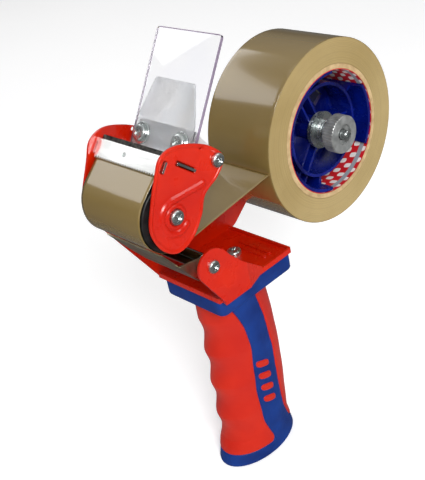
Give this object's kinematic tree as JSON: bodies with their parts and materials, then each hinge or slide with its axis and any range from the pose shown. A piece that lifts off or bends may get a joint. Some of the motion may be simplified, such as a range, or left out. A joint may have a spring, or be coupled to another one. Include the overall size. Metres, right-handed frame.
{
  "type": "tape gun dispenser",
  "caption": "Hand-held parcel tape gun: red steel frame, toothed blade, rubber application roller, clear flap, braked reel with brown tape, two-colour finger grip.",
  "frame": {"origin": "middle of the reel axle, at the middle of the tape's width", "axes": "+X forward to the cutting head, +Y to the open side that the roll slides off, +Z away from the grip"},
  "size_m": [0.2075, 0.0735, 0.2841],
  "materials": {
    "red_paint": "gloss powder coat",
    "blue_plastic": "fine moulded texture",
    "soft_red": "soft overmould, satin",
    "hub_plastic": "glossy moulding",
    "zinc": "bright zinc plate",
    "chrome_blade": "polished",
    "dark_steel": "blackened",
    "spring_plate": "polished spring steel",
    "guide_chrome": "dark chrome",
    "black_rubber": "smooth",
    "grey_plastic": "moulded",
    "clear_plastic": "clear flexible sheet",
    "tape_film": "brown parcel tape, glossy",
    "roll_paper": "wound paperboard",
    "printed_liner": "printed paper"
  },
  "bodies": {
    "frame_body": {"frame": "red_paint", "near_cheek": "red_paint", "blade_bracket": "zinc", "blade": "chrome_blade", "blade_rivet": "zinc", "guard_strip": "dark_steel", "roller_axle": "zinc", "roller_screws": "zinc", "pivot_rod": "zinc", "rod_screws": "zinc", "guide_shaft": "zinc", "guide_screws": "zinc", "tape_web": "tape_film", "reel_axle": "zinc", "brake_stud": "zinc", "axle_washer": "zinc", "axle_lock_nut": "zinc", "axle_shoulder_nut": "zinc", "handle_body": "blue_plastic", "grip_front": "soft_red", "grip_back": "soft_red", "grip_bolts": "zinc", "grip_nuts": "zinc", "backstop_spring": "dark_steel", "flap_spring": "dark_steel", "brake_spring": "zinc"},
    "reel": {"reel_hub": "hub_plastic", "core_liner": "printed_liner", "roll_core": "roll_paper", "tape_roll": "tape_film", "brake_washers": "zinc"},
    "application_roller": {"roller_core": "grey_plastic", "roller_tyre": "black_rubber"},
    "guide_sleeve": {"guide_roller": "guide_chrome"},
    "backstop": {"backstop_plate": "spring_plate"},
    "smoother": {"flap": "clear_plastic", "flap_stiffener": "clear_plastic", "flap_collars": "zinc", "flap_screws": "zinc", "flap_clamp": "zinc"},
    "brake_thrust": {"thrust_washer": "zinc"},
    "brake_knob": {"brake_nut": "zinc"}
  },
  "joints": [
    {"name": "reel_spin", "type": "hinge", "parent": "frame_body", "child": "reel", "pos_m": [0, 0, 0], "axis": [0, 1, 0], "continuous": true},
    {"name": "application_roller_spin", "type": "hinge", "parent": "frame_body", "child": "application_roller", "pos_m": [0.1302, 0, 0.0118], "axis": [0, 1, 0], "continuous": true},
    {"name": "guide_roller_spin", "type": "hinge", "parent": "frame_body", "child": "guide_sleeve", "pos_m": [0.1156, 0, -0.027], "axis": [0, 1, 0], "continuous": true},
    {"name": "backstop_swing", "type": "hinge", "parent": "frame_body", "child": "backstop", "pos_m": [0.1156, 0, -0.027], "axis": [0, 1, 0], "range_deg": [0, 15], "stiffness_Nm_per_rad": 0.06, "springref_deg": -17.19, "deforming": ["backstop_spring"]},
    {"name": "flap_swing", "type": "hinge", "parent": "frame_body", "child": "smoother", "pos_m": [0.0958, 0, 0.0284], "axis": [0, 1, 0], "range_deg": [-18, 0], "stiffness_Nm_per_rad": 0.15, "springref_deg": 17.19, "deforming": ["flap_spring"]},
    {"name": "brake_travel", "type": "slide", "parent": "frame_body", "child": "brake_thrust", "axis": [0, 1, 0], "range_m": [-0.0025, 0.00125], "deforming": ["brake_spring"]},
    {"name": "brake_nut_turn", "type": "hinge", "parent": "brake_thrust", "child": "brake_knob", "pos_m": [0, 0.03, 0], "axis": [0, 1, 0], "range_deg": [-720, 360]}
  ],
  "couplings": [
    {"joint": "brake_nut_turn", "follows": "brake_travel", "rad_per_m": 5026.5}
  ]
}
